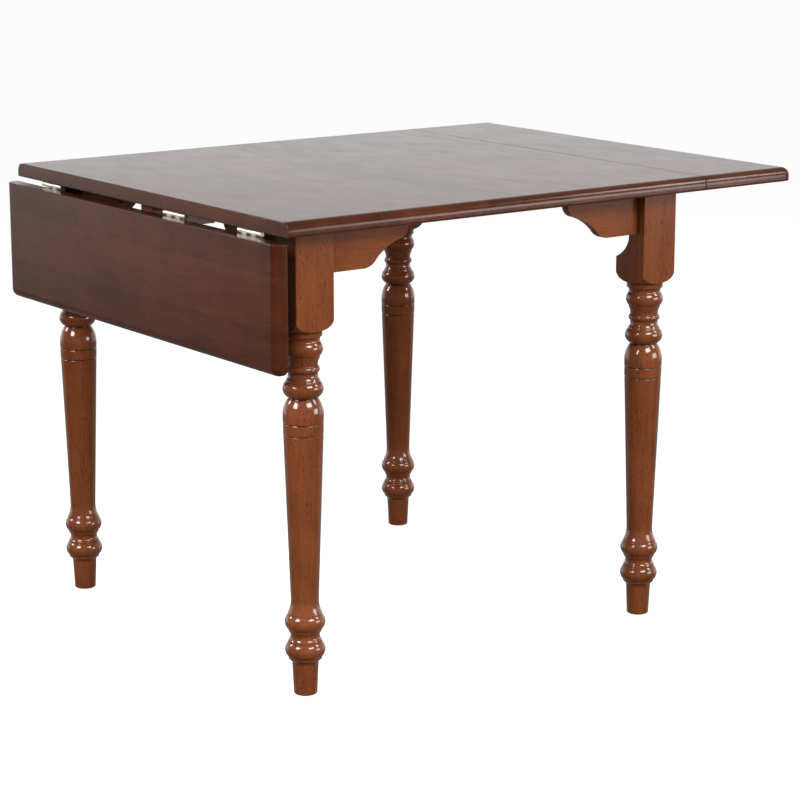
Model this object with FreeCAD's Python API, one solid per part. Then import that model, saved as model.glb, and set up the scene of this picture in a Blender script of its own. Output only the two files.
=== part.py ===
"""Drop leaf table: a square fixed top on four turned legs, with a hinged leaf along each of two sides.

Millimetres, +Z up. X runs across the hinge lines, Y runs along them, and the front is towards -Y. The left leaf
hangs and the right leaf is raised. Everything is drawn about the centre of the fixed top, and save() then moves it so
that the origin is on the floor in the middle of the table's outer box.
"""

import FreeCAD
import Part
import math
import os

# Whole table
TABLE_HEIGHT = 762.0
TABLE_DEPTH = 838.0
TOP_ACROSS = 836.0
TOP_THICKNESS = 23.0
LEAF_WIDTH = 200.0
UNDERSIDE = TABLE_HEIGHT - TOP_THICKNESS

# Edges of the top and the leaves
EDGE_ROUND = 14.0
EDGE_EASE = 3.0
LEAF_CORNER = 15.0

# Hinges: the pin runs along Y, below the top and just inside its edge
JOINT_GAP = 1.2
PIN_DROP = 4.0
PIN_INSET = 3.0
PIN_X = TOP_ACROSS / 2 - PIN_INSET
PIN_Z = UNDERSIDE - PIN_DROP
PIN_RADIUS = 1.8
PIN_RUNNING_CLEARANCE = 0.07
PIN_HEAD_RADIUS = 2.7
PIN_HEAD_LENGTH = 1.2
BARREL_RADIUS = 3.7
KNUCKLE_COUNT = 5
KNUCKLE_GAP = 0.4
NECK_DROP = 0.4
HINGE_LENGTH = 63.5
HINGE_PLATE_WIDTH = 31.0
HINGE_PLATE = 1.8
HINGES_FROM_FRONT = (107.0, 324.0, 721.0)
HINGE_SCREWS = ((-24.0, 17.0), (0.0, 24.0), (24.0, 17.0))

# Wood screws: the countersunk ones hold the hinges, the round-headed ones everything else
SCREW_RADIUS = 1.8
SCREW_HEAD_RADIUS = 3.5
SCREW_DEPTH = 14.0
ROUND_HEAD_HEIGHT = 2.2

# Legs
LEG_SPACING_X = 696.0
LEG_SPACING_Y = 700.0
BLOCK = 70.0
BLOCK_BOTTOM = 584.0
BLOCK_EDGE = 1.5
SHOULDER_RISE = 24.0
GLIDE_HEIGHT = 1.5
GLIDE_RADIUS = 11.0
GLIDE_NAIL_RADIUS = 1.5
GLIDE_NAIL_LENGTH = 14.0

# The turned leg from the foot up. Each entry ends at a radius and a height; an entry with four numbers is an arc
# that first passes through another radius and height.
LEG_TURNING = (
    (17.9, 2.2, 18.5, 4.2),
    (20.8, 49.5),
    (21.6, 55.0, 26.3, 59.5),
    (26.6, 62.5),
    (31.8, 74.6, 26.6, 86.6),
    (26.4, 90.0),
    (23.0, 97.2, 26.1, 104.6),
    (26.4, 107.4),
    (31.9, 119.2, 27.2, 131.5),
    (26.9, 134.5),
    (23.4, 143.6, 22.0, 156.0),
    (30.9, 415.0),
    (31.2, 420.0),
    (30.2, 421.0),
    (31.3, 422.0),
    (31.6, 438.0),
    (30.6, 439.0),
    (31.7, 440.0),
    (31.8, 449.5),
    (29.6, 465.4, 22.6, 478.6),
    (31.6, 490.8, 26.6, 504.4),
    (26.3, 506.4),
    (23.9, 510.8, 23.2, 516.0),
    (23.2, 518.0),
    (26.4, 523.4, 23.2, 528.8),
    (23.6, 534.0, 26.3, 541.0),
    (26.5, 543.6),
    (31.3, 555.4, 26.7, 566.8),
    (26.5, 570.4, 30.2, 575.0),
    (30.4, 584.5),
)

# Knock-down joint: the inner corner of each block is cut off at 45 degrees for a hanger bolt
CORNER_CUT = 32.0
CORNER_CUT_BOTTOM = 664.0
CUTTER_RADIUS = 45.0
BRACKET_THICKNESS = 2.5
BRACKET_TO_LEG = 6.0
BRACKET_FLANGE = 33.0
BRACKET_BOTTOM = 680.0
BRACKET_TOP = 726.0
BRACKET_SCREW_HEIGHTS = (690.0, 716.0)
BOLT_HEIGHT = 703.0
BOLT_RADIUS = 4.0
BOLT_IN_LEG = 28.0
BOLT_OUT = 18.0
BOLT_HOLE_RADIUS = 4.6
WASHER_RADIUS = 9.5
WASHER_THICKNESS = 1.8
NUT_RADIUS = 7.0
NUT_HEIGHT = 8.0
WING_REACH = 17.0
WING_THICKNESS = 2.6
WING_HEIGHT = 12.0

# Aprons
APRON = 15.0
APRON_SETBACK = 16.0
APRON_BOTTOM = 669.5
APRON_SHALLOW_BOTTOM = 729.5

# Screw strips along the front and back aprons
STRIP_WIDTH = 20.0
STRIP_HEIGHT = 11.0
STRIP_LENGTH = 480.0
STRIP_SCREW_STEP = 200.0

# Leaf supports: a flat bar for each leaf slides out under it, just above where the leaf hangs. Its end guide has a
# nose, a deep channel that carries the bar from the knob's stop out through the apron
BAR_WIDTH = 28.0
BAR_THICKNESS = 6.0
BAR_LENGTH = 600.0
BAR_INSET = 18.0
BAR_CLEARANCE = 0.2
BAR_END_ROUND = 6.0
GUIDE_BOTTOM = 722.0
END_GUIDE_WIDTH = 45.0
END_GUIDE_LENGTH = 200.0
NOSE_WIDTH = 34.5
NOSE_BOTTOM = 697.0
NOSE_INNER_X = 282.0
CENTRE_GUIDE_WIDTH = 60.0
CENTRE_GUIDE_LENGTH = 120.0
KNOB_RADIUS = 9.0
KNOB_HEIGHT = 15.0
KNOB_FROM_CENTRE = 97.0

X_AXIS = FreeCAD.Vector(1, 0, 0)
Y_AXIS = FreeCAD.Vector(0, 1, 0)
Z_AXIS = FreeCAD.Vector(0, 0, 1)
SIDES = (("left", -1), ("right", 1))
ENDS = (("front", -1), ("back", 1))

TOP_HALF = TOP_ACROSS / 2
RIGHT_REACH = TOP_HALF + JOINT_GAP + LEAF_WIDTH
LEFT_REACH = PIN_X + PIN_DROP + TOP_THICKNESS
ORIGIN_SHIFT = FreeCAD.Vector(-(RIGHT_REACH - LEFT_REACH) / 2, 0, 0)

BAR_BOTTOM = UNDERSIDE - BAR_CLEARANCE - BAR_THICKNESS
BAR_OFFSET = NOSE_WIDTH / 2
BAR_END_X = TOP_HALF - BAR_INSET
APRON_INNER_X = LEG_SPACING_X / 2 + BLOCK / 2 - APRON_SETBACK - APRON
APRON_INNER_Y = LEG_SPACING_Y / 2 + BLOCK / 2 - APRON_SETBACK - APRON


def vec(x, y, z):
    return FreeCAD.Vector(x, y, z)


def save(name, shape):
    placed = shape.translated(ORIGIN_SHIFT)
    placed.exportStep("parts/" + name + ".step")


def box(x_range, y_range, z_range):
    size = [high - low for low, high in (x_range, y_range, z_range)]
    return Part.makeBox(size[0], size[1], size[2], vec(x_range[0], y_range[0], z_range[0]))


def rod(radius, start, direction, length):
    return Part.makeCylinder(radius, length, start, direction)


def joined(shapes):
    whole = shapes[0]
    if len(shapes) > 1:
        whole = shapes[0].multiFuse(shapes[1:]).removeSplitter()
    return whole


def group(shapes):
    return Part.makeCompound(shapes)


def drawn_face(entries, place):
    """A flat face whose outline goes through the entries: two numbers end a line, four numbers end an arc."""
    edges = []
    here = place(*entries[0])
    for entry in entries[1:]:
        there = place(*entry[-2:])
        if len(entry) == 4:
            edges.append(Part.Arc(here, place(*entry[:2]), there).toShape())
        else:
            edges.append(Part.makeLine(here, there))
        here = there
    start = place(*entries[0])
    if (here - start).Length > 1e-6:
        edges.append(Part.makeLine(here, start))
    return Part.Face(Part.Wire(edges))


def mirrored_x(shape, side):
    return shape if side > 0 else shape.mirror(vec(0, 0, 0), X_AXIS)


def mirrored_y(shape, end):
    return shape if end > 0 else shape.mirror(vec(0, 0, 0), Y_AXIS)


def hung_if_left(shape, side):
    """Turns a piece of the raised right leaf into its place on the leaf of that side, as it stands at rest."""
    placed = mirrored_x(shape, side)
    if side < 0:
        placed.rotate(vec(-PIN_X, 0, PIN_Z), Y_AXIS, -90)
    return placed


# Screws

def countersunk_screw(head_centre, direction):
    """A screw whose flat head is at head_centre and whose shank runs along direction."""
    head = Part.makeCone(SCREW_HEAD_RADIUS, SCREW_RADIUS, HINGE_PLATE, head_centre, direction)
    shank = rod(SCREW_RADIUS, head_centre, direction, SCREW_DEPTH)
    return joined([head, shank])


def round_head_screw(seat, direction, depth=SCREW_DEPTH):
    """A round-headed screw: the head stands off the seat and the shank runs along direction."""
    outline = (
        (0.0, -ROUND_HEAD_HEIGHT),
        (SCREW_HEAD_RADIUS * 0.62, -ROUND_HEAD_HEIGHT * 0.72, SCREW_HEAD_RADIUS, 0.0),
        (SCREW_RADIUS, 0.0),
        (SCREW_RADIUS, depth),
        (0.0, depth),
    )
    face = drawn_face(outline, lambda radius, along: vec(radius, 0, along))
    screw = face.revolve(vec(0, 0, 0), Z_AXIS, 360)
    screw.Placement = FreeCAD.Placement(seat, FreeCAD.Rotation(Z_AXIS, direction))
    return screw


# Hinges, drawn under the right joint with the leaf raised

def hinge_centres():
    return [distance - TABLE_DEPTH / 2 for distance in HINGES_FROM_FRONT]


def hinge_screw_seats(centre_y, outward):
    """Where the hinge screws' heads lie: on the top's plate (outward -1) or the leaf's plate (outward 1)."""
    lower_face = UNDERSIDE - HINGE_PLATE
    return [vec(PIN_X + outward * across, centre_y + along, lower_face) for along, across in HINGE_SCREWS]


def hinge_plate(centre_y, outward):
    """One half of a hinge: its plate under the wood, and every second knuckle round the pin.

    The leaf plate's necks pass under the top's edge, so they lie a little lower than the plate.
    """
    low_y = centre_y - HINGE_LENGTH / 2
    pitch = (HINGE_LENGTH + KNUCKLE_GAP) / KNUCKLE_COUNT
    knuckle = pitch - KNUCKLE_GAP
    first = 0 if outward < 0 else 1
    bore = PIN_RADIUS if outward < 0 else PIN_RADIUS + PIN_RUNNING_CLEARANCE
    near = BARREL_RADIUS + 1.0
    neck_top = UNDERSIDE if outward < 0 else UNDERSIDE - NECK_DROP
    x_far = PIN_X + outward * HINGE_PLATE_WIDTH
    x_near = PIN_X + outward * near
    plate_x = (min(x_far, x_near), max(x_far, x_near))
    plate_z = (UNDERSIDE - HINGE_PLATE, UNDERSIDE)
    solids = [box(plate_x, (low_y, low_y + HINGE_LENGTH), plate_z)]
    for index in range(first, KNUCKLE_COUNT, 2):
        y = low_y + index * pitch
        neck_x = (min(PIN_X, x_near), max(PIN_X, x_near))
        solids.append(box(neck_x, (y, y + knuckle), (UNDERSIDE - HINGE_PLATE, neck_top)))
        solids.append(rod(BARREL_RADIUS, vec(PIN_X, y, PIN_Z), Y_AXIS, knuckle))
    half = joined(solids)
    half = half.cut(rod(bore, vec(PIN_X, low_y - 1, PIN_Z), Y_AXIS, HINGE_LENGTH + 2))
    for seat in hinge_screw_seats(centre_y, outward):
        half = half.cut(countersunk_screw(seat, Z_AXIS))
    return half


def hinge_pin(centre_y):
    start = vec(PIN_X, centre_y - HINGE_LENGTH / 2, PIN_Z)
    shank = rod(PIN_RADIUS, start, Y_AXIS, HINGE_LENGTH)
    heads = [
        rod(PIN_HEAD_RADIUS, start, Y_AXIS * -1, PIN_HEAD_LENGTH),
        rod(PIN_HEAD_RADIUS, start + Y_AXIS * HINGE_LENGTH, Y_AXIS, PIN_HEAD_LENGTH),
    ]
    return joined([shank] + heads)


def hinge_screws(outward):
    seats = []
    for centre_y in hinge_centres():
        seats += hinge_screw_seats(centre_y, outward)
    return group([countersunk_screw(seat, Z_AXIS) for seat in seats])


def make_hinges():
    top_screws = []
    for side_name, side in SIDES:
        for centre_y, place in zip(hinge_centres(), ("front", "middle", "back")):
            name = side_name + "_" + place + "_hinge"
            save(name + "_top_plate", mirrored_x(hinge_plate(centre_y, -1), side))
            save(name + "_leaf_plate", hung_if_left(hinge_plate(centre_y, 1), side))
            save(name + "_pin", mirrored_x(hinge_pin(centre_y), side))
        top_screws.append(mirrored_x(hinge_screws(-1), side))
        save(side_name + "_leaf_hinge_screws", hung_if_left(hinge_screws(1), side))
    save("top_hinge_screws", group(top_screws))


# Top and leaves

def strip_screw_seats():
    """Screws that go up through the front screw strip into the top."""
    y = -(APRON_INNER_Y - STRIP_WIDTH / 2)
    z = UNDERSIDE - STRIP_HEIGHT
    return [vec(step * STRIP_SCREW_STEP, y, z) for step in (-1, 0, 1)]


def guide_screw_seats():
    """Screws that go up through the two end guides and the centre guide into the top."""
    end_x = APRON_INNER_X - END_GUIDE_WIDTH / 2
    end_y = END_GUIDE_LENGTH / 2 - 20
    centre_y = CENTRE_GUIDE_LENGTH / 2 - 8
    seats = []
    for end in (-1, 1):
        seats += [vec(side * end_x, end * end_y, GUIDE_BOTTOM) for side in (-1, 1)]
        seats += [vec(side * 18, end * centre_y, GUIDE_BOTTOM) for side in (-1, 1)]
    return seats


def strip_screws():
    depth = STRIP_HEIGHT + SCREW_DEPTH
    front = [round_head_screw(seat, Z_AXIS, depth) for seat in strip_screw_seats()]
    back = [screw.mirror(vec(0, 0, 0), Y_AXIS) for screw in front]
    return group(front + back)


def guide_screws():
    depth = UNDERSIDE - GUIDE_BOTTOM + SCREW_DEPTH
    return group([round_head_screw(seat, Z_AXIS, depth) for seat in guide_screw_seats()])


def make_main_top():
    """The fixed top: square at the two hinge lines, rounded over along its front and back edges."""
    half = TABLE_DEPTH / 2
    corner = math.sqrt(0.5)
    outline = (
        (-half + EDGE_EASE, UNDERSIDE),
        (-half + EDGE_EASE * (1 - corner), UNDERSIDE + EDGE_EASE * (1 - corner), -half, UNDERSIDE + EDGE_EASE),
        (-half, TABLE_HEIGHT - EDGE_ROUND),
        (-half + EDGE_ROUND * (1 - corner), TABLE_HEIGHT - EDGE_ROUND * (1 - corner),
         -half + EDGE_ROUND, TABLE_HEIGHT),
        (half - EDGE_ROUND, TABLE_HEIGHT),
        (half - EDGE_ROUND * (1 - corner), TABLE_HEIGHT - EDGE_ROUND * (1 - corner),
         half, TABLE_HEIGHT - EDGE_ROUND),
        (half, UNDERSIDE + EDGE_EASE),
        (half - EDGE_EASE * (1 - corner), UNDERSIDE + EDGE_EASE * (1 - corner), half - EDGE_EASE, UNDERSIDE),
    )
    face = drawn_face(outline, lambda y, z: vec(-TOP_HALF, y, z))
    top = face.extrude(vec(TOP_ACROSS, 0, 0))
    holes = [mirrored_x(hinge_screws(-1), side) for _, side in SIDES] + [strip_screws(), guide_screws()]
    for hole in holes:
        top = top.cut(hole)
    save("main_top", top)


def leaf_board():
    """The right leaf, raised: square at its hinge edge, with its other three edges and two corners rounded."""
    inner = TOP_HALF + JOINT_GAP
    outer = inner + LEAF_WIDTH
    half = TABLE_DEPTH / 2
    board = box((inner, outer), (-half, half), (UNDERSIDE, TABLE_HEIGHT))
    corners = [edge for edge in board.Edges if edge.BoundBox.ZLength > 1 and edge.BoundBox.XMin > outer - 1]
    board = board.makeFillet(LEAF_CORNER, corners)
    for radius, level in ((EDGE_ROUND, TABLE_HEIGHT), (EDGE_EASE, UNDERSIDE)):
        rim = []
        for edge in board.Edges:
            bounds = edge.BoundBox
            is_level = bounds.ZLength < 0.01 and abs(bounds.ZMin - level) < 0.01
            if is_level and bounds.XMax > inner + 0.01:
                rim.append(edge)
        board = board.makeFillet(radius, rim)
    return board.cut(hinge_screws(1))


def make_leaves():
    for side_name, side in SIDES:
        save(side_name + "_leaf", hung_if_left(leaf_board(), side))


# Legs, drawn about the leg's own axis with the inner corner towards +X and +Y

def turned_leg():
    outline = ((0.0, GLIDE_HEIGHT), (16.8, GLIDE_HEIGHT)) + LEG_TURNING + ((0.0, LEG_TURNING[-1][-1]),)
    face = drawn_face(outline, lambda radius, height: vec(radius, 0, height))
    return face.revolve(vec(0, 0, 0), Z_AXIS, 360)


def leg_block():
    """The square block, with its lower corners turned away into a rounded shoulder."""
    half = BLOCK / 2
    block = box((-half, half), (-half, half), (BLOCK_BOTTOM, UNDERSIDE))
    block = block.makeFillet(BLOCK_EDGE, [edge for edge in block.Edges if edge.BoundBox.ZLength > 1])
    reach = half * math.sqrt(2)
    outline = (
        (0.0, BLOCK_BOTTOM),
        (half - 2, BLOCK_BOTTOM),
        (half + 0.72 * (reach - half), BLOCK_BOTTOM + 0.36 * SHOULDER_RISE, reach, BLOCK_BOTTOM + SHOULDER_RISE),
        (reach, UNDERSIDE),
        (0.0, UNDERSIDE),
    )
    face = drawn_face(outline, lambda radius, height: vec(radius, 0, height))
    return block.common(face.revolve(vec(0, 0, 0), Z_AXIS, 360))


def corner_cutter():
    """The waste cut off the block's inner corner, which a round cutter leaves running out in a curve below."""
    depth = CORNER_CUT / math.sqrt(2)
    to_face = BLOCK * math.sqrt(2) / 2 - depth

    def on_cutter(degrees):
        turn = math.radians(degrees)
        return (
            to_face + CUTTER_RADIUS * (1 - math.cos(turn)),
            CORNER_CUT_BOTTOM - CUTTER_RADIUS * math.sin(turn),
        )

    outline = (
        (to_face, UNDERSIDE + 1),
        (to_face, CORNER_CUT_BOTTOM),
        on_cutter(35) + on_cutter(70),
        (on_cutter(70)[0], UNDERSIDE + 1),
    )
    face = drawn_face(outline, lambda away, height: vec(away, -BLOCK, height))
    cutter = face.extrude(vec(0, 2 * BLOCK, 0))
    cutter.rotate(vec(0, 0, 0), Z_AXIS, 45)
    return cutter


def diagonal(away, height):
    """A point on the vertical plane through the leg's axis and its inner corner."""
    return vec(away / math.sqrt(2), away / math.sqrt(2), height)


def leg_face_distance():
    return (BLOCK - CORNER_CUT) * math.sqrt(2) / 2


def hanger_bolt():
    start = diagonal(leg_face_distance() - BOLT_IN_LEG, BOLT_HEIGHT)
    length = BOLT_IN_LEG + BRACKET_TO_LEG + BRACKET_THICKNESS + BOLT_OUT
    return rod(BOLT_RADIUS, start, diagonal(1, 0), length)


def bracket_outer_face():
    return leg_face_distance() + BRACKET_TO_LEG + BRACKET_THICKNESS


def bolt_washer():
    seat = diagonal(bracket_outer_face(), BOLT_HEIGHT)
    disc = rod(WASHER_RADIUS, seat, diagonal(1, 0), WASHER_THICKNESS)
    return disc.cut(rod(BOLT_RADIUS, seat, diagonal(1, 0), WASHER_THICKNESS))


def wing_nut():
    seat = diagonal(bracket_outer_face() + WASHER_THICKNESS, BOLT_HEIGHT)
    along = diagonal(1, 0)
    hub = Part.makeCone(NUT_RADIUS, NUT_RADIUS * 0.75, NUT_HEIGHT, seat, along)
    outline = (
        (NUT_RADIUS * 0.5, 0.5),
        (WING_REACH * 0.55, 1.5),
        (WING_REACH * 1.02, 4.5, WING_REACH, WING_HEIGHT),
        (WING_REACH * 0.74, WING_HEIGHT * 1.12, WING_REACH * 0.55, WING_HEIGHT * 0.75),
        (NUT_RADIUS * 0.5, NUT_HEIGHT * 0.8),
    )
    parts = [hub]
    for turn in (0, 180):
        face = drawn_face(outline, lambda out, up: vec(out, -WING_THICKNESS / 2, up))
        wing = face.extrude(vec(0, WING_THICKNESS, 0))
        wing.rotate(vec(0, 0, 0), Z_AXIS, turn)
        wing.Placement = FreeCAD.Placement(seat, FreeCAD.Rotation(Z_AXIS, along)).multiply(wing.Placement)
        parts.append(wing)
    return joined(parts).cut(rod(BOLT_RADIUS, seat, along, NUT_HEIGHT * 2))


def foot_glide():
    """A nail-on glide: a steel button with its lower rim rounded, and its nail up into the foot."""
    outline = (
        (0.0, 0.0),
        (GLIDE_RADIUS - 1.2, 0.0),
        (GLIDE_RADIUS - 0.3, 0.4, GLIDE_RADIUS, GLIDE_HEIGHT - 0.2),
        (GLIDE_RADIUS, GLIDE_HEIGHT),
        (0.0, GLIDE_HEIGHT),
    )
    face = drawn_face(outline, lambda radius, height: vec(radius, 0, height))
    button = face.revolve(vec(0, 0, 0), Z_AXIS, 360)
    nail = rod(GLIDE_NAIL_RADIUS, vec(0, 0, GLIDE_HEIGHT), Z_AXIS, GLIDE_NAIL_LENGTH)
    return joined([button, nail])


def at_corner(shape, side, end):
    """Moves a piece drawn about a leg's axis to the leg at that side and end."""
    placed = shape.translated(vec(-LEG_SPACING_X / 2, -LEG_SPACING_Y / 2, 0))
    return mirrored_y(mirrored_x(placed, -side), -end)


def make_legs():
    leg = joined([turned_leg(), leg_block()]).cut(corner_cutter())
    leg = leg.cut(hanger_bolt()).cut(foot_glide())
    for side_name, side in SIDES:
        for end_name, end in ENDS:
            save(end_name + "_" + side_name + "_leg", at_corner(leg, side, end))


def at_every_corner(shape):
    return group([at_corner(shape, side, end) for _, side in SIDES for _, end in ENDS])


def make_leg_hardware():
    save("foot_glides", at_every_corner(foot_glide()))
    save("hanger_bolts", at_every_corner(hanger_bolt()))
    save("bolt_washers", at_every_corner(bolt_washer()))
    save("wing_nuts", at_every_corner(wing_nut()))


# Corner brackets, drawn at the front left corner from the inner faces of its two aprons

def bracket_span():
    """How far along each apron, from the corner of their inner faces, the bracket's diagonal plate meets it."""
    corner_x = -LEG_SPACING_X / 2 + APRON_INNER_X
    corner_y = -LEG_SPACING_Y / 2 + APRON_INNER_Y
    return (leg_face_distance() + BRACKET_TO_LEG) * math.sqrt(2) + corner_x + corner_y


def bracket_point(along_x, along_y, height):
    return vec(-APRON_INNER_X + along_x, -APRON_INNER_Y + along_y, height)


def bracket_screw_seats():
    """Seats on the bracket's flanges: each is a point and the direction in which its screw goes into the apron."""
    out = bracket_span() + BRACKET_FLANGE * 0.55
    seats = []
    for height in BRACKET_SCREW_HEIGHTS:
        seats.append((bracket_point(out, BRACKET_THICKNESS, height), Y_AXIS * -1))
        seats.append((bracket_point(BRACKET_THICKNESS, out, height), X_AXIS * -1))
    return seats


def bracket_screw_depth():
    return BRACKET_THICKNESS + APRON - 3


def bracket_screws():
    depth = bracket_screw_depth()
    return group([round_head_screw(seat, direction, depth) for seat, direction in bracket_screw_seats()])


def corner_bracket():
    """A bent steel plate across the corner: a diagonal part for the bolt, and a flange on each apron."""
    span = bracket_span()
    far = span + BRACKET_FLANGE
    bend = BRACKET_THICKNESS * (math.sqrt(2) - 1)
    outline = (
        (far, 0.0),
        (span, 0.0),
        (0.0, span),
        (0.0, far),
        (BRACKET_THICKNESS, far),
        (BRACKET_THICKNESS, span + bend),
        (span + bend, BRACKET_THICKNESS),
        (far, BRACKET_THICKNESS),
    )
    face = drawn_face(outline, lambda x, y: bracket_point(x, y, BRACKET_BOTTOM))
    plate = face.extrude(vec(0, 0, BRACKET_TOP - BRACKET_BOTTOM))
    plate = plate.cut(bracket_screws())
    axis_point = vec(-LEG_SPACING_X / 2, -LEG_SPACING_Y / 2, 0) + diagonal(0, BOLT_HEIGHT)
    return plate.cut(rod(BOLT_HOLE_RADIUS, axis_point, diagonal(1, 0), 3 * BLOCK))


def make_brackets():
    for side_name, side in SIDES:
        for end_name, end in ENDS:
            placed = mirrored_y(mirrored_x(corner_bracket(), -side), -end)
            save(end_name + "_" + side_name + "_corner_bracket", placed)
    screws = [mirrored_y(mirrored_x(bracket_screws(), -side), -end) for _, side in SIDES for _, end in ENDS]
    save("bracket_screws", group(screws))


# Aprons

def apron_outline(half_length):
    """Half of an apron's scalloped face, from its top at the leg, as distances from the middle and heights."""
    low = APRON_BOTTOM
    mid = APRON_SHALLOW_BOTTOM
    return (
        (half_length, UNDERSIDE),
        (half_length, low),
        (250.0, low),
        (237.0, low + 1.5, 226.0, low + 8.5),
        (207.0, low + 26.0, 175.0, low + 40.5),
        (165.5, low + 46.5, 160.0, mid),
    )


def scalloped_board(half_length):
    """An apron lying along X, with its outer face on y = 0 and its inner face at y = APRON."""
    right = apron_outline(half_length)
    half_face = drawn_face(right + ((0.0, right[-1][-1]), (0.0, UNDERSIDE)), lambda x, z: vec(x, 0, z))
    half = half_face.extrude(vec(0, APRON, 0))
    return joined([half, half.mirror(vec(0, 0, 0), X_AXIS)])


def bar_slot(side):
    """The room round the bar of that side, open to the underside of the top."""
    y = -side * BAR_OFFSET
    half_width = BAR_WIDTH / 2 + 0.3
    reach = TOP_HALF
    return box((-reach, reach), (y - half_width, y + half_width), (BAR_BOTTOM - BAR_CLEARANCE, UNDERSIDE))


def guide_nose(side):
    """The part of an end guide that carries its bar out through the apron's arch."""
    low_y, high_y = sorted((0.0, -side * NOSE_WIDTH))
    low_x, high_x = sorted((side * NOSE_INNER_X, side * BAR_END_X))
    return box((low_x, high_x), (low_y, high_y), (NOSE_BOTTOM, UNDERSIDE))


def make_aprons():
    screws = bracket_screws()
    long_board = scalloped_board(LEG_SPACING_X / 2 - BLOCK / 2)
    front = long_board.translated(vec(0, -(APRON_INNER_Y + APRON), 0))
    for _, side in SIDES:
        front = front.cut(mirrored_x(screws, side))
    for end_name, end in ENDS:
        save(end_name + "_apron", mirrored_y(front, -end))
    short_board = scalloped_board(LEG_SPACING_Y / 2 - BLOCK / 2)
    short_board.rotate(vec(0, 0, 0), Z_AXIS, -90)
    left = short_board.translated(vec(-(APRON_INNER_X + APRON), 0, 0))
    for _, end in ENDS:
        left = left.cut(mirrored_y(screws, end))
    for side_name, side in SIDES:
        save(side_name + "_apron", mirrored_x(left, -side).cut(bar_slot(side)).cut(guide_nose(side)))


def make_screw_strips():
    strip = box(
        (-STRIP_LENGTH / 2, STRIP_LENGTH / 2),
        (-APRON_INNER_Y, -APRON_INNER_Y + STRIP_WIDTH),
        (UNDERSIDE - STRIP_HEIGHT, UNDERSIDE),
    )
    strip = strip.cut(strip_screws())
    for end_name, end in ENDS:
        save(end_name + "_screw_strip", mirrored_y(strip, -end))
    save("strip_screws", strip_screws())


# Leaf supports, drawn for the right leaf and mirrored for the left

def support_bar():
    y = -BAR_OFFSET
    bar = box(
        (BAR_END_X - BAR_LENGTH, BAR_END_X),
        (y - BAR_WIDTH / 2, y + BAR_WIDTH / 2),
        (BAR_BOTTOM, BAR_BOTTOM + BAR_THICKNESS),
    )
    corners = [edge for edge in bar.Edges if edge.BoundBox.ZLength > 1]
    bar = bar.makeFillet(BAR_END_ROUND, corners)
    return bar.cut(rod(SCREW_RADIUS, vec(KNOB_FROM_CENTRE, y, BAR_BOTTOM), Z_AXIS, BAR_THICKNESS))


def bar_knob():
    """A turned finger knob riveted under the bar. It also stops the bar against the end guide."""
    waist = KNOB_RADIUS * 0.55
    rivet_top = KNOB_HEIGHT + BAR_THICKNESS
    outline = (
        (0.0, 0.0),
        (KNOB_RADIUS * 0.6, 0.0),
        (KNOB_RADIUS * 1.0, 2.4, KNOB_RADIUS * 0.82, KNOB_HEIGHT * 0.42),
        (waist, KNOB_HEIGHT * 0.62, KNOB_RADIUS * 0.75, KNOB_HEIGHT),
        (SCREW_RADIUS, KNOB_HEIGHT),
        (SCREW_RADIUS, rivet_top),
        (0.0, rivet_top),
    )
    face = drawn_face(outline, lambda radius, height: vec(radius, 0, height))
    knob = face.revolve(vec(0, 0, 0), Z_AXIS, 360)
    return knob.translated(vec(KNOB_FROM_CENTRE, -BAR_OFFSET, BAR_BOTTOM - KNOB_HEIGHT))


def make_supports():
    for side_name, side in SIDES:
        turn = 0 if side > 0 else 180
        bar = support_bar()
        knob = bar_knob()
        for shape in (bar, knob):
            shape.rotate(vec(0, 0, 0), Z_AXIS, turn)
        save(side_name + "_support_bar", bar)
        save(side_name + "_bar_knob", knob)


def make_guides():
    screws = guide_screws()
    centre = box(
        (-CENTRE_GUIDE_WIDTH / 2, CENTRE_GUIDE_WIDTH / 2),
        (-CENTRE_GUIDE_LENGTH / 2, CENTRE_GUIDE_LENGTH / 2),
        (GUIDE_BOTTOM, UNDERSIDE),
    )
    for _, side in SIDES:
        centre = centre.cut(bar_slot(side))
    save("centre_guide", centre.cut(screws))
    block = box(
        (APRON_INNER_X - END_GUIDE_WIDTH, APRON_INNER_X),
        (-END_GUIDE_LENGTH / 2, END_GUIDE_LENGTH / 2),
        (GUIDE_BOTTOM, UNDERSIDE),
    )
    for side_name, side in SIDES:
        guide = joined([mirrored_x(block, side), guide_nose(side)])
        save(side_name + "_end_guide", guide.cut(bar_slot(side)).cut(screws))
    save("guide_screws", screws)


def main():
    os.makedirs("parts", exist_ok=True)
    make_main_top()
    make_leaves()
    make_hinges()
    make_legs()
    make_leg_hardware()
    make_brackets()
    make_aprons()
    make_screw_strips()
    make_supports()
    make_guides()


main()
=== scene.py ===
"""Drop leaf table: finishes, camera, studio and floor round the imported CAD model.

Lengths are in metres, in the model's own frame.
"""

import math

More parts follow.
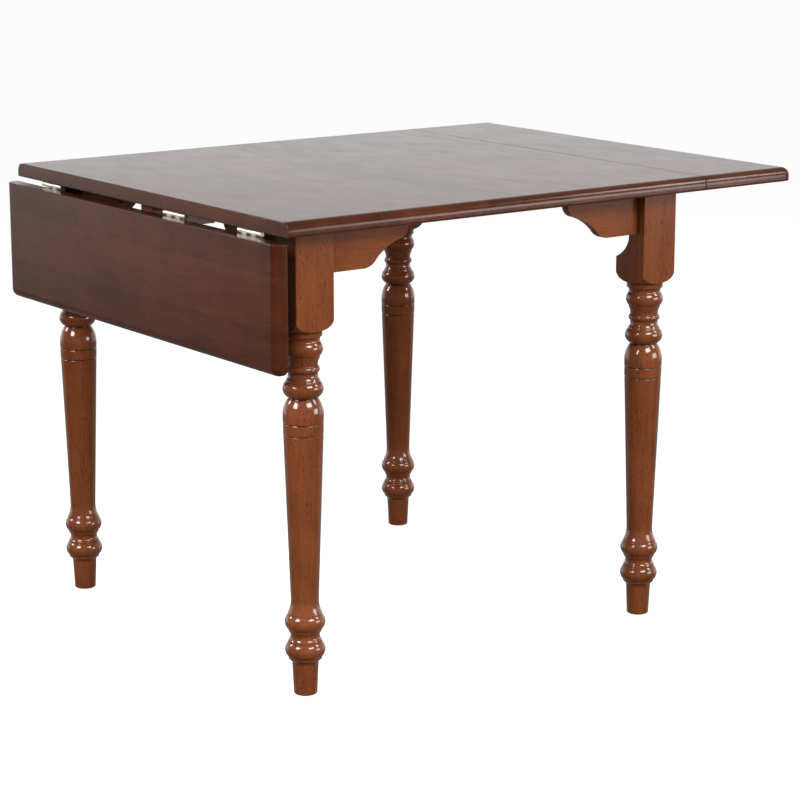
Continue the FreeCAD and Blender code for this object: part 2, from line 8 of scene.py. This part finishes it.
import bpy
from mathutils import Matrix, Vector


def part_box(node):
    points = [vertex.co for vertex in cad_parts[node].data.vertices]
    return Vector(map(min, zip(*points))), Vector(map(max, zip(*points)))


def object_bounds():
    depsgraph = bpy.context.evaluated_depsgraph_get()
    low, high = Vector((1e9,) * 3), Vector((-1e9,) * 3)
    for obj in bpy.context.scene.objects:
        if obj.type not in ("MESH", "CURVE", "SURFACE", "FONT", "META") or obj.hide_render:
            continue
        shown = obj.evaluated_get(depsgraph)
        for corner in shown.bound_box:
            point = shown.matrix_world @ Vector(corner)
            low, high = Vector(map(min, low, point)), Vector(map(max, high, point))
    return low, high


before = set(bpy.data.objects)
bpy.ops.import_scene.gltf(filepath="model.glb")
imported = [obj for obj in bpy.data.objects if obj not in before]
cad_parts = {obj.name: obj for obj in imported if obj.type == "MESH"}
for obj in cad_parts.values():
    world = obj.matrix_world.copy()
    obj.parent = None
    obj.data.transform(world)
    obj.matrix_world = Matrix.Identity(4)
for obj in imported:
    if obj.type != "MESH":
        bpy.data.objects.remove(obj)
CAD_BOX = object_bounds()

# Camera: where it stands, how far it is turned from looking along +Y and how far it looks down, in degrees,
# and its sensor and lens in millimetres.
TOP_MIDDLE = sum(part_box("main_top"), Vector()) / 2
CAMERA_FROM_TOP_MIDDLE = Vector((-2.442, -3.438, 0.5824))
CAMERA_TURN = 36.42
CAMERA_DOWN = 12.98
SENSOR = 36.0
LENS = 112.45

# Soft boxes. Azimuth 0 is in front of the table and 90 is at its right. Angles are in degrees.
LIGHT_DISTANCE = 3.2
SOFT_BOXES = (
    # name, azimuth, elevation, width, height, radiance
    ("front_soft_box", 0.0, 34.0, 1.40, 0.80, 15.0),
    ("left_soft_box", -80.0, 30.0, 1.05, 1.05, 17.7),
    ("right_soft_box", 50.0, 34.0, 0.45, 0.75, 14.0),
    ("right_strip_box", 34.0, 7.4, 1.40, 0.80, 7.5),
    ("back_left_box", -134.0, 28.0, 0.45, 0.90, 18.0),
)
# A broad light near the camera that isn't mirrored in the lacquer, with the same fields.
FILL = ("camera_fill", -36.0, 6.0, 2.60, 1.50, 3.2)

# Brightness of the studio's walls behind and in front of the table and overhead, and by how much the walls dim
# higher up and below the floor. Each change runs between two cosines: of the angle from the camera's heading
# for the walls, and from straight up for the rest.
WALL_BEHIND = 1.06
WALL_IN_FRONT = 0.20
CEILING = 0.22
UPPER_DIMMING = 0.60
LOWER_DIMMING = 0.20
WALL_CHANGE = (0.18, 0.38)
UPPER_CHANGE = (0.115, 0.20)
CEILING_CHANGE = (0.35, 0.75)
LOWER_CHANGE = (-0.12, -0.20)

# The floor and dome that the camera sees.
BACKDROP_RADIUS = 60.0
BACKDROP_RINGS = 24
BACKDROP_SIDES = 96
BACKDROP_TONE = 0.50
BACKDROP_GLOW = 0.80

# Boards glued edge to edge in the top and leaves: their width, and the first glue line's distance from the
# edge.
BOARD_WIDTH = 0.0822
TOP_FIRST_BOARD = 0.0468
LEAF_FIRST_BOARD = 0.0690

# Radius at which each material's corners are shaded as rounded.
TOP_SOFTNESS = 0.0030
FRAME_SOFTNESS = 0.0016
RAW_SOFTNESS = 0.0010
METAL_SOFTNESS = 0.0005
ENAMEL_SOFTNESS = 0.0007

# Reach of the darkening that gathers in hollows: painted shade in lacquered wood's recesses, real glaze with
# painted shade in its fine crevices, painted shade in the crevices of bare wood, and dirt in the crevices of
# metal.
RECESS_SHADE_REACH = 0.050
CREVICE_GLAZE_AND_SHADE_REACH = 0.004
RAW_CREVICE_SHADE_REACH = 0.010
METAL_CREVICE = 0.0035

# Rays that feel for corners and hollows at each point.
CORNER_SAMPLES = 4
HOLLOW_SAMPLES = 6

# The cosine between a corner's rounded and true normals on its flat side and at its edge.
FLAT_COSINE = 0.995
CORNER_COSINE = 0.86

# The range that holds most of a noise texture.
NOISE_RANGE = (0.30, 0.70)

# Refraction of the lacquer: plain, weak on the legs and aprons, and strong on the end guides. The legs also
# have a clear coat.
LACQUER = 1.36
WEAK_LACQUER = 1.26
STRONG_LACQUER = 1.60
COAT_ROUGHNESS = 0.08

# Stained and lacquered wood, darker on the top and leaves than on the frame under them.
# In each set, the tone that hollows darken to stands for real glaze with painted shade on lacquered wood, and
# for painted shade alone on bare wood.
TOP_TONES = {
    "light": (0.096, 0.024, 0.009, 1),
    "dark": (0.042, 0.011, 0.004, 1),
    "pore": (0.014, 0.004, 0.003, 1),
    "glaze_and_shade": (0.010, 0.003, 0.002, 1),
    "worn": (0.170, 0.050, 0.020, 1),
}
FRAME_TONES = {
    "light": (0.245, 0.070, 0.022, 1),
    "dark": (0.125, 0.033, 0.011, 1),
    "pore": (0.035, 0.010, 0.005, 1),
    "glaze_and_shade": (0.009, 0.003, 0.002, 1),
    "worn": (0.330, 0.105, 0.036, 1),
}
RAW_TONES = {
    "light": (0.520, 0.350, 0.200, 1),
    "dark": (0.370, 0.225, 0.115, 1),
    "pore": (0.190, 0.105, 0.050, 1),
    "glaze_and_shade": (0.150, 0.085, 0.045, 1),
    "worn": (0.600, 0.430, 0.270, 1),
}

# Brown enamel on the support bars, from dark to light, and the steel under it.
ENAMEL_DARK = (0.060, 0.032, 0.024, 1)
ENAMEL_LIGHT = (0.105, 0.058, 0.042, 1)
BARE_STEEL = (0.42, 0.41, 0.40, 1)

PLATED_METALS = (
    # slot, bright colour, dull colour, roughness, brushing axis, tarnish
    ("hinge_metal", (0.94, 0.90, 0.79, 1), (0.50, 0.44, 0.33, 1), 0.38, "y", 0.35),
    ("bracket_steel", (0.56, 0.56, 0.55, 1), (0.33, 0.33, 0.33, 1), 0.36, "x", 0.50),
    ("bolt_steel", (0.62, 0.62, 0.61, 1), (0.36, 0.36, 0.36, 1), 0.30, "z", 0.50),
    ("screw_steel", (0.62, 0.52, 0.30, 1), (0.34, 0.27, 0.15, 1), 0.32, "y", 0.50),
    ("pin_metal", (0.82, 0.79, 0.70, 1), (0.38, 0.35, 0.29, 1), 0.26, "y", 0.50),
    ("glide_steel", (0.62, 0.61, 0.59, 1), (0.34, 0.33, 0.31, 1), 0.28, "x", 0.50),
    ("knob_brass", (0.74, 0.54, 0.26, 1), (0.38, 0.25, 0.11, 1), 0.24, "z", 0.50),
)


class Graph:
    """A shader tree, with short calls for the nodes that the finishes share."""

    def __init__(self, tree):
        self.tree = tree
        self.tree.nodes.clear()

    def feed(self, socket, value):
        if isinstance(value, bpy.types.NodeSocket):
            self.tree.links.new(value, socket)
        else:
            socket.default_value = value

    def add(self, kind, inputs=(), **settings):
        node = self.tree.nodes.new(kind)
        for name, value in settings.items():
            setattr(node, name, value)
        for name, value in dict(inputs).items():
            self.feed(node.inputs[name], value)
        return node

    def math(self, operation, first, second=0.0):
        node = self.add("ShaderNodeMath", operation=operation)
        self.feed(node.inputs[0], first)
        self.feed(node.inputs[1], second)
        return node.outputs[0]

    def dot(self, first, second):
        node = self.add("ShaderNodeVectorMath", operation="DOT_PRODUCT")
        self.feed(node.inputs[0], first)
        self.feed(node.inputs[1], second)
        return node.outputs["Value"]

    def remap(self, value, low, high, start=0.0, end=1.0):
        inputs = {
            "Value": value,
            "From Min": low,
            "From Max": high,
            "To Min": start,
            "To Max": end,
        }
        return self.add("ShaderNodeMapRange", inputs).outputs[0]

    def mix(self, factor, first, second):
        node = self.add("ShaderNodeMix", data_type="RGBA")
        self.feed(node.inputs[0], factor)
        self.feed(node.inputs[6], first)
        self.feed(node.inputs[7], second)
        return node.outputs[2]

    def noise(self, vector, scale, detail, roughness, distortion=0.0):
        inputs = {
            "Vector": vector,
            "Scale": scale,
            "Detail": detail,
            "Roughness": roughness,
            "Distortion": distortion,
        }
        return self.add("ShaderNodeTexNoise", inputs).outputs[0]

    def place(self):
        """The point's place on the object, which goes with the piece when it moves."""
        return self.add("ShaderNodeTexCoord").outputs["Object"]

    def along(self, grain, stretch):
        """The place, drawn out along the grain axis by the stretch."""
        scale = [1.0, 1.0, 1.0]
        scale["xyz".index(grain)] = 1.0 / stretch
        inputs = {"Vector": self.place(), "Scale": scale}
        return self.add("ShaderNodeMapping", inputs).outputs[0]

    def axis(self, name):
        return self.add("ShaderNodeSeparateXYZ", {"Vector": self.place()}).outputs[name.upper()]

    def hollow(self, distance, start=0.85, end=0.25):
        """1 deep in a crevice and 0 on open faces."""
        node = self.add("ShaderNodeAmbientOcclusion", {"Distance": distance}, samples=HOLLOW_SAMPLES)
        return self.remap(node.outputs["AO"], start, end)

    def edge(self, radius):
        """The rounded normal, and how near the point is to a corner, from 0 to 1."""
        rounded = self.add("ShaderNodeBevel", {"Radius": radius}, samples=CORNER_SAMPLES).outputs[0]
        true = self.add("ShaderNodeNewGeometry").outputs["Normal"]
        return rounded, self.remap(self.dot(rounded, true), FLAT_COSINE, CORNER_COSINE)

    def bump(self, height, strength, distance, normal):
        inputs = {
            "Height": height,
            "Strength": strength,
            "Distance": distance,
            "Normal": normal,
        }
        return self.add("ShaderNodeBump", inputs).outputs[0]

    def principled(self, **inputs):
        """The surface: each keyword is a shader input, with underscores for its spaces."""
        named = {name.replace("_", " "): value for name, value in inputs.items()}
        shader = self.add("ShaderNodeBsdfPrincipled", named)
        output = self.add("ShaderNodeOutputMaterial")
        self.feed(output.inputs["Surface"], shader.outputs[0])


def new_material(name):
    material = bpy.data.materials.new(name)
    material.use_nodes = True
    return material, Graph(material.node_tree)


def board_shade(graph, across, start):
    """A random value from 0 to 1 for each glued board."""
    shifted = graph.math("SUBTRACT", graph.axis(across), start)
    number = graph.math("FLOOR", graph.math("DIVIDE", shifted, BOARD_WIDTH))
    random = graph.add("ShaderNodeTexWhiteNoise", {"W": number}, noise_dimensions="1D")
    return random.outputs["Value"]


def wood_colour(graph, grain, tones, figure, board=None):
    """Stained wood: slow figure, fine fibres, board to board change, and short dark pores."""
    drawn_out = graph.along(grain, stretch=9.0)
    slow = graph.noise(drawn_out, scale=figure, detail=3.0, roughness=0.6, distortion=0.6)
    fibre = graph.noise(graph.along(grain, stretch=26.0), scale=420.0, detail=3.0, roughness=0.65)
    blotch = graph.noise(graph.place(), scale=11.0, detail=3.0, roughness=0.5)
    figure_shade = graph.remap(slow, *NOISE_RANGE, 0.0, 0.55)
    fibre_shade = graph.remap(fibre, 0.32, 0.68, -0.13, 0.23)
    shade = graph.math("ADD", figure_shade, fibre_shade)
    shade = graph.math("ADD", shade, graph.remap(blotch, 0.30, 0.72, -0.12, 0.30))
    if board is not None:
        shade = graph.math("ADD", shade, graph.remap(board, 0.0, 1.0, -0.26, 0.26))
    colour = graph.mix(shade, tones["dark"], tones["light"])
    pores = graph.noise(graph.along(grain, stretch=4.5), scale=620.0, detail=2.0, roughness=0.6)
    bundles = graph.noise(graph.along(grain, stretch=4.0), scale=70.0, detail=2.0, roughness=0.5)
    pores = graph.remap(pores, 0.56, 0.70)
    pores = graph.math("MULTIPLY", pores, graph.remap(bundles, 0.35, 0.62, 0.25, 0.90))
    return graph.mix(pores, colour, tones["pore"]), fibre, pores


def lacquered_wood(
    name,
    grain,
    tones,
    figure=18.0,
    boards=None,
    gloss=0.12,
    shine=LACQUER,
    glaze_and_shade_strength=0.95,
    softness=FRAME_SOFTNESS,
    coat=0.0,
):
    """Stained hardwood under a gloss lacquer that has sunk a little into the grain.

    figure is the scale of the grain pattern, and boards the axis across the glued boards and where the first
    begins. gloss is the roughness, shine the lacquer's refraction, glaze_and_shade_strength how far the hollows
    darken with real glaze and painted shade, and coat the weight of the clear coat.
    """
    material, graph = new_material(name)
    board = board_shade(graph, *boards) if boards else None
    colour, fibre, pores = wood_colour(graph, grain, tones, figure, board)
    rounded, edge = graph.edge(softness)
    scuff = graph.noise(graph.place(), scale=70.0, detail=3.0, roughness=0.6)
    worn = graph.math("MULTIPLY", edge, graph.remap(scuff, 0.38, 0.70, 0.0, 0.45))
    colour = graph.mix(worn, colour, tones["worn"])
    # Painted shade: darker where other parts come near, as under the top and beside the blocks.
    recess_shade = graph.hollow(RECESS_SHADE_REACH, start=0.80, end=0.25)
    # Real glaze in fine crevices such as the legs' scored lines, with painted shade in the same crevices.
    crevice_glaze_and_shade = graph.hollow(CREVICE_GLAZE_AND_SHADE_REACH, start=0.96, end=0.60)
    hollow = graph.math("MAXIMUM", recess_shade, crevice_glaze_and_shade)
    # Both darken the colour towards the glaze tone: real glaze and painted shade together.
    colour = graph.mix(graph.math("MULTIPLY", hollow, glaze_and_shade_strength), colour, tones["glaze_and_shade"])
    cloud = graph.noise(graph.along(grain, stretch=2.5), scale=26.0, detail=4.0, roughness=0.60)
    rough = graph.remap(cloud, *NOISE_RANGE, gloss, gloss + 0.05)
    rough = graph.math("ADD", rough, graph.remap(fibre, *NOISE_RANGE, -0.02, 0.06))
    rough = graph.math("ADD", rough, graph.math("MULTIPLY", hollow, 0.22))
    relief = graph.math("SUBTRACT", graph.math("MULTIPLY", fibre, 0.5), pores)
    normal = graph.bump(relief, strength=0.16, distance=0.0003, normal=rounded)
    peel = graph.noise(graph.place(), scale=95.0, detail=2.0, roughness=0.5)
    normal = graph.bump(peel, strength=0.03, distance=0.0010, normal=normal)
    graph.principled(
        Base_Color=colour,
        Roughness=rough,
        Normal=normal,
        IOR=shine,
        Coat_Weight=coat,
        Coat_Roughness=COAT_ROUGHNESS,
        Coat_Normal=graph.bump(peel, strength=0.01, distance=0.0010, normal=rounded),
    )
    return material


def raw_wood(name, grain):
    """Planed hardwood with no lacquer, a little stain and handling marks."""
    material, graph = new_material(name)
    colour, fibre, pores = wood_colour(graph, grain, RAW_TONES, figure=22.0)
    # Painted shade: darker in crevices and next to other parts.
    hollow = graph.hollow(RAW_CREVICE_SHADE_REACH)
    colour = graph.mix(graph.math("MULTIPLY", hollow, 0.6), colour, RAW_TONES["glaze_and_shade"])
    rounded, edge = graph.edge(RAW_SOFTNESS)
    colour = graph.mix(graph.math("MULTIPLY", edge, 0.5), colour, RAW_TONES["worn"])
    rough = graph.remap(fibre, *NOISE_RANGE, 0.62, 0.82)
    relief = graph.math("SUBTRACT", fibre, pores)
    normal = graph.bump(relief, strength=0.35, distance=0.0004, normal=rounded)
    graph.principled(Base_Color=colour, Roughness=rough, Normal=normal)
    return material


def plated_metal(name, bright, dull, rough, brush, tarnish):
    """Plated steel or brass: brushed along one axis, duller in hollows, bright at its corners."""
    material, graph = new_material(name)
    brushed = graph.noise(graph.along(brush, stretch=30.0), scale=2600.0, detail=2.0, roughness=0.6)
    spots = graph.noise(graph.place(), scale=240.0, detail=4.0, roughness=0.6)
    stain = graph.remap(spots, 0.45, 0.72, 0.0, tarnish)
    hollow = graph.hollow(METAL_CREVICE)
    stain = graph.math("MAXIMUM", stain, graph.math("MULTIPLY", hollow, 0.8))
    rounded, edge = graph.edge(METAL_SOFTNESS)
    colour = graph.mix(stain, bright, dull)
    rubbed = [(1.0 + part) / 2.0 for part in bright]
    colour = graph.mix(graph.math("MULTIPLY", edge, 0.6), colour, rubbed)
    sheen = graph.remap(brushed, *NOISE_RANGE, rough - 0.06, rough + 0.08)
    sheen = graph.math("ADD", sheen, graph.math("MULTIPLY", stain, 0.15))
    normal = graph.bump(brushed, strength=0.10, distance=0.0001, normal=rounded)
    graph.principled(Base_Color=colour, Roughness=sheen, Normal=normal, Metallic=1.0)
    return material


def enamelled_steel(name, brush):
    """Brown enamel on flat bar, rubbed through to the steel along its corners where it slides."""
    material, graph = new_material(name)
    speckle = graph.noise(graph.place(), scale=700.0, detail=3.0, roughness=0.6)
    colour = graph.mix(graph.remap(speckle, 0.35, 0.70), ENAMEL_DARK, ENAMEL_LIGHT)
    rounded, edge = graph.edge(ENAMEL_SOFTNESS)
    rub = graph.noise(graph.along(brush, stretch=12.0), scale=160.0, detail=4.0, roughness=0.65)
    bare = graph.math("MULTIPLY", edge, graph.remap(rub, 0.46, 0.60))
    colour = graph.mix(bare, colour, BARE_STEEL)
    rough = graph.remap(speckle, *NOISE_RANGE, 0.28, 0.42)
    normal = graph.bump(speckle, strength=0.18, distance=0.0002, normal=rounded)
    graph.principled(Base_Color=colour, Roughness=rough, Normal=normal, Metallic=bare)
    return material


def make_finishes():
    """The finish of each material slot, and of the nodes whose grain runs another way than their slot's."""
    top_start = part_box("main_top")[0].x + TOP_FIRST_BOARD
    leaf_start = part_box("left_leaf")[0].z + LEAF_FIRST_BOARD
    top_look = {"tones": TOP_TONES, "figure": 13.0, "gloss": 0.11, "softness": TOP_SOFTNESS}
    flat_top = lacquered_wood("top_wood", "y", boards=("x", top_start), **top_look)
    hung_top = lacquered_wood("top_wood_hung", "y", boards=("z", leaf_start), **top_look)
    legs = lacquered_wood("leg_wood", "z", FRAME_TONES, figure=24.0, shine=WEAK_LACQUER, coat=1.0)
    long_aprons = lacquered_wood("apron_wood", "x", FRAME_TONES, shine=WEAK_LACQUER)
    end_aprons = lacquered_wood("apron_wood_end", "y", FRAME_TONES, shine=WEAK_LACQUER)
    end_guides = lacquered_wood("guide_wood", "x", FRAME_TONES, gloss=0.20, shine=STRONG_LACQUER, glaze_and_shade_strength=0.15)
    finishes = {
        "top_wood": flat_top,
        "leg_wood": legs,
        "apron_wood": long_aprons,
        "inner_wood": raw_wood("inner_wood", "x"),
        "bar_enamel": enamelled_steel("bar_enamel", "x"),
    }
    for slot, *look in PLATED_METALS:
        finishes[slot] = plated_metal(slot, *look)
    by_node = {
        "left_leaf": hung_top,
        "left_apron": end_aprons,
        "right_apron": end_aprons,
        "left_end_guide": end_guides,
        "right_end_guide": end_guides,
        "centre_guide": raw_wood("inner_wood_cross", "y"),
    }
    return finishes, by_node


def dress_nodes():
    """Gives each CAD node its finish, by its record slot unless its grain runs another way."""
    finishes, by_node = make_finishes()
    for name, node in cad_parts.items():
        for held in node.material_slots:
            slot = held.material.name.split(".")[0]
            held.material = by_node.get(name, finishes[slot])


def soft_box(name, azimuth, elevation, width, height, radiance):
    """A flat studio light that faces the middle of the table."""
    turn = math.radians(azimuth)
    rise = math.radians(elevation)
    way = Vector((math.sin(turn) * math.cos(rise), -math.cos(turn) * math.cos(rise), math.sin(rise)))
    lamp = bpy.data.lights.new(name, "AREA")
    lamp.shape = "RECTANGLE"
    lamp.size = width
    lamp.size_y = height
    lamp.energy = radiance * width * height * math.pi
    holder = bpy.data.objects.new(name, lamp)
    bpy.context.scene.collection.objects.link(holder)
    middle = (CAD_BOX[0] + CAD_BOX[1]) / 2
    holder.location = middle + way * LIGHT_DISTANCE
    holder.rotation_euler = way.to_track_quat("Z", "Y").to_euler()
    return holder


def make_world():
    """The studio's walls: bright white behind the table, dim in front, and grey overhead and below."""
    world = bpy.data.worlds.new("studio")
    bpy.context.scene.world = world
    world.use_nodes = True
    graph = Graph(world.node_tree)
    way = graph.add("ShaderNodeTexCoord").outputs["Generated"]
    turn = math.radians(CAMERA_TURN)
    behind = graph.dot(way, (math.sin(turn), math.cos(turn), 0.0))
    height = graph.dot(way, (0.0, 0.0, 1.0))
    ring = graph.remap(behind, *WALL_CHANGE, WALL_IN_FRONT, WALL_BEHIND)
    ring = graph.math("MULTIPLY", ring, graph.remap(height, *UPPER_CHANGE, 1.0, UPPER_DIMMING))
    overhead = graph.remap(height, *CEILING_CHANGE)
    wall = graph.mix(overhead, ring, (CEILING, CEILING, CEILING, 1))
    below = graph.remap(height, *LOWER_CHANGE, 1.0, LOWER_DIMMING)
    background = graph.add("ShaderNodeBackground", {"Color": wall, "Strength": below})
    output = graph.add("ShaderNodeOutputWorld")
    graph.feed(output.inputs["Surface"], background.outputs[0])


def make_backdrop():
    """A pale floor that runs into a pale dome. The camera sees it, and it casts no light on the table."""
    verts = []
    faces = []
    for ring in range(BACKDROP_RINGS + 1):
        rise = math.radians(90.0 * ring / BACKDROP_RINGS)
        for side in range(BACKDROP_SIDES):
            turn = 2.0 * math.pi * side / BACKDROP_SIDES
            out = BACKDROP_RADIUS * math.cos(rise)
            verts.append((out * math.cos(turn), out * math.sin(turn), BACKDROP_RADIUS * math.sin(rise)))
    faces.append(tuple(range(BACKDROP_SIDES)))
    for ring in range(BACKDROP_RINGS):
        for side in range(BACKDROP_SIDES):
            first = ring * BACKDROP_SIDES + side
            second = ring * BACKDROP_SIDES + (side + 1) % BACKDROP_SIDES
            faces.append((first, second, second + BACKDROP_SIDES, first + BACKDROP_SIDES))
    mesh = bpy.data.meshes.new("backdrop")
    mesh.from_pydata(verts, [], faces)
    material, graph = new_material("pale_floor")
    graph.principled(
        Base_Color=(BACKDROP_TONE, BACKDROP_TONE, BACKDROP_TONE, 1),
        Roughness=0.9,
        Emission_Color=(1.0, 1.0, 1.0, 1),
        Emission_Strength=BACKDROP_GLOW,
    )
    mesh.materials.append(material)
    backdrop = bpy.data.objects.new("backdrop", mesh)
    bpy.context.scene.collection.objects.link(backdrop)
    backdrop.visible_diffuse = False
    backdrop.visible_glossy = False
    backdrop.visible_shadow = False


def make_camera():
    lens = bpy.data.cameras.new("camera")
    lens.sensor_width = SENSOR
    lens.lens = LENS
    lens.clip_end = 4.0 * BACKDROP_RADIUS
    camera = bpy.data.objects.new("camera", lens)
    bpy.context.scene.collection.objects.link(camera)
    camera.location = TOP_MIDDLE + CAMERA_FROM_TOP_MIDDLE
    camera.rotation_euler = (math.radians(90.0 - CAMERA_DOWN), 0.0, math.radians(-CAMERA_TURN))
    bpy.context.scene.camera = camera


bpy.context.scene.view_settings.view_transform = "Standard"
make_camera()
make_world()
for box in SOFT_BOXES:
    soft_box(*box)
soft_box(*FILL).visible_glossy = False
make_backdrop()
dress_nodes()
